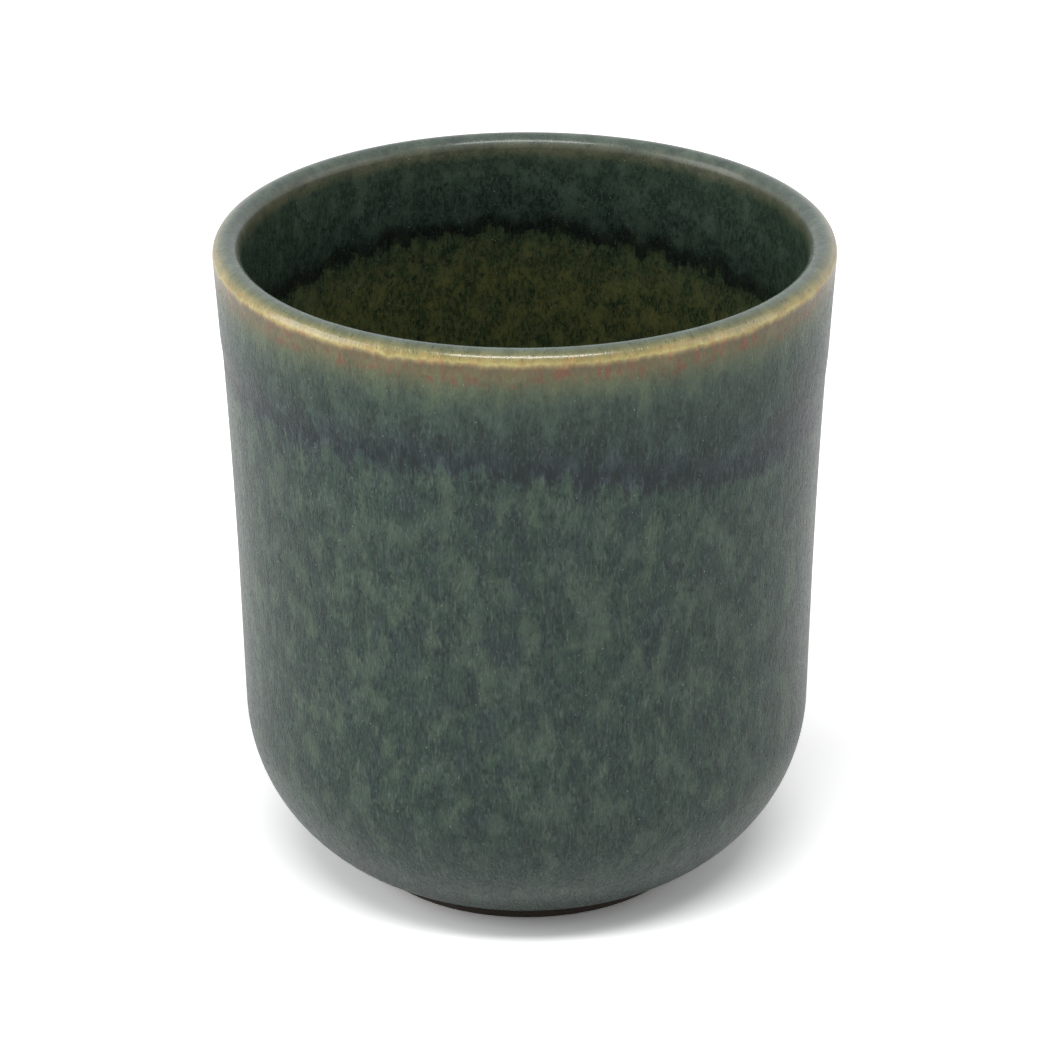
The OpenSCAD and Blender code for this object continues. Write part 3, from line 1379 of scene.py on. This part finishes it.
@dataclass(frozen=True)
class SoftBox:
    """Soft light that faces the cup, in metres and degrees.

    The azimuth counts to the right of the camera and the elevation up from the table. A brightness of 1 is
    that of white paper in plain light.
    """

    name: str
    azimuth: float
    elevation: float
    width: float
    height: float
    bright: float
    reach: float = 1.2

    def hang(self, target: float) -> None:
        """Hangs the light.

        Args:
            target: Height of the point that it faces.
        """
        lamp = bpy.data.lights.new(self.name, "AREA")
        lamp.shape, lamp.size, lamp.size_y = "RECTANGLE", self.width, self.height
        lamp.energy = self.bright * math.pi * self.width * self.height
        made = bpy.data.objects.new(self.name, lamp)
        a, e = math.radians(self.azimuth), math.radians(self.elevation)
        back = Vector((math.sin(a) * math.cos(e), -math.cos(a) * math.cos(e), math.sin(e)))
        made.location = Vector((0.0, 0.0, target)) + back * self.reach
        made.rotation_euler = back.to_track_quat("Z", "Y").to_euler()
        bpy.context.scene.collection.objects.link(made)


SOFT_BOXES = (
    SoftBox("front_box", 0.0, 60.0, 0.87, 0.22, 15.0),
    SoftBox("left_box", -82.0, 20.0, 0.85, 0.85, 4.1),
    SoftBox("right_box", 82.0, 20.0, 0.85, 0.85, 1.4),
)


@dataclass(frozen=True)
class Studio:
    """Pale floor, even white surround, soft boxes and the camera, in metres and radians."""

    boxes: tuple[SoftBox, ...] = SOFT_BOXES
    target: float = 0.0468
    distance: float = 0.6805
    elevation: float = math.radians(24.29)
    roll: float = math.radians(-0.242)
    lens: float = 178.0
    sensor: float = 36.0
    shift: float = -0.0009
    floor_r: float = 1.05
    floor_hole: float = 20.5 * MM
    floor_drop: float = 0.02 * MM
    floor_steps: int = 96
    surround: float = 0.39

    def camera(self) -> None:
        """Sets the camera at the viewing angle."""
        view = bpy.data.cameras.new("camera")
        view.lens, view.sensor_width, view.shift_x = self.lens, self.sensor, self.shift
        made = bpy.data.objects.new("camera", view)
        made.location = (
            0.0,
            -self.distance * math.cos(self.elevation),
            self.target + self.distance * math.sin(self.elevation),
        )
        pitch = Euler((math.pi / 2 - self.elevation, 0.0, 0.0)).to_matrix()
        made.rotation_euler = (pitch @ Matrix.Rotation(self.roll, 3, "Z")).to_euler()
        bpy.context.scene.collection.objects.link(made)
        bpy.context.scene.camera = made

    def floor(self) -> None:
        """Lays a floor that keeps the shadow, is clear from below and is open under the foot."""
        disc = bmesh.new()
        start = disc.verts.new((self.floor_hole, 0.0, -self.floor_drop))
        spoke = bmesh.ops.extrude_vert_indiv(disc, verts=[start])
        bmesh.ops.translate(disc, verts=spoke["verts"], vec=(self.floor_r - self.floor_hole, 0.0, 0.0))
        bmesh.ops.spin(
            disc,
            geom=disc.verts[:] + disc.edges[:],
            cent=(0.0, 0.0, 0.0),
            axis=(0.0, 0.0, 1.0),
            angle=math.tau,
            steps=self.floor_steps,
            use_merge=True,
        )
        bmesh.ops.recalc_face_normals(disc, faces=disc.faces[:])
        disc.faces.ensure_lookup_table()
        if disc.faces[0].normal.z < 0:
            bmesh.ops.reverse_faces(disc, faces=disc.faces[:])
        mesh = bpy.data.meshes.new("floor")
        disc.to_mesh(mesh)
        disc.free()
        mesh.materials.append(self.paper())
        made = bpy.data.objects.new("floor", mesh)
        bpy.context.scene.collection.objects.link(made)

    def paper(self) -> bpy.types.Material:
        """Makes the floor's matt white paper, which the camera alone sees brighter than it lights the cup.

        Returns:
            The material.
        """
        paint = bpy.data.materials.new("white studio paper, matt")
        paint.use_nodes = True
        add = Graph(paint.node_tree).add
        seen = add("ShaderNodeLightPath", out="Is Camera Ray")
        paper = add("ShaderNodeBsdfDiffuse", {"Color": linear("#eeeeee")})
        extra = add("ShaderNodeBsdfDiffuse", {"Color": linear("#cccccc")})
        white = add("ShaderNodeAddShader", {0: paper, 1: extra})
        shown = add("ShaderNodeMixShader", {0: seen, 1: paper, 2: white})
        below = add("ShaderNodeNewGeometry", out="Backfacing")
        clear = add("ShaderNodeBsdfTransparent")
        mixed = add("ShaderNodeMixShader", {0: below, 1: shown, 2: clear})
        add("ShaderNodeOutputMaterial", {"Surface": mixed})
        return paint

    def world(self) -> None:
        """Sets the white surround, which shows as white and lights a little less."""
        made = bpy.data.worlds.new("surround")
        made.use_nodes = True
        add = Graph(made.node_tree).add
        kinds = ("Is Camera Ray", "Is Glossy Ray", "Is Transmission Ray")
        rays = [add("ShaderNodeLightPath", out=kind) for kind in kinds]
        two = add("ShaderNodeMath", {0: rays[0], 1: rays[1]}, operation="MAXIMUM")
        seen = add("ShaderNodeMath", {0: two, 1: rays[2]}, operation="MAXIMUM")
        strength = add("ShaderNodeMapRange", {0: seen, 3: self.surround, 4: 1.0})
        light = add("ShaderNodeBackground", {"Color": linear("#ffffff"), "Strength": strength})
        add("ShaderNodeOutputWorld", {"Surface": light})
        bpy.context.scene.world = made

    def build(self) -> None:
        """Sets the whole studio."""
        bpy.context.scene.view_settings.view_transform = "Standard"
        self.camera()
        self.floor()
        self.world()
        for box in self.boxes:
            box.hang(self.target)


def main() -> None:
    """Builds the cup and the studio in order."""
    logging.basicConfig(level=logging.INFO)
    shape, throwing = CupShape.from_frame(), Throwing()
    clay = BareClay("stoneware clay, turned and fired bare", "#7a6450", "#4e3d2f", "#241a14")
    # The foot ring's clay is a darker copy of the same clay: painted shade for the foot that stands in shadow
    shaded = BareClay("stoneware clay, toasted dark at the foot", "#3a2e25", "#1f1813", "#100c0a")
    pieces: list[Piece] = [
        ClayBody(shape, throwing, "clay_wall", "stoneware_body", "bare_clay", clay),
        FootRing(shape, throwing, "clay_foot", "foot_ring", "foot_clay", shaded),
        OuterGlaze(
            shape, throwing, "outer_coat", "outer_glaze", "outer_glaze",
            ReactiveGlaze("reactive stoneware glaze, poured outside"),
        ),
        LinerGlaze(
            shape, throwing, "liner_coat", "liner_glaze", "liner_glaze",
            ReactiveGlaze("reactive stoneware glaze, poured inside"),
        ),
        RimGlaze(
            shape, throwing, "rim_coat", "rim_glaze", "rim_glaze",
            ReactiveGlaze("reactive stoneware glaze, dipped twice"),
        ),
    ]
    for piece in pieces:
        piece.make()
    Studio().build()


if __name__ == "__main__":
    main()
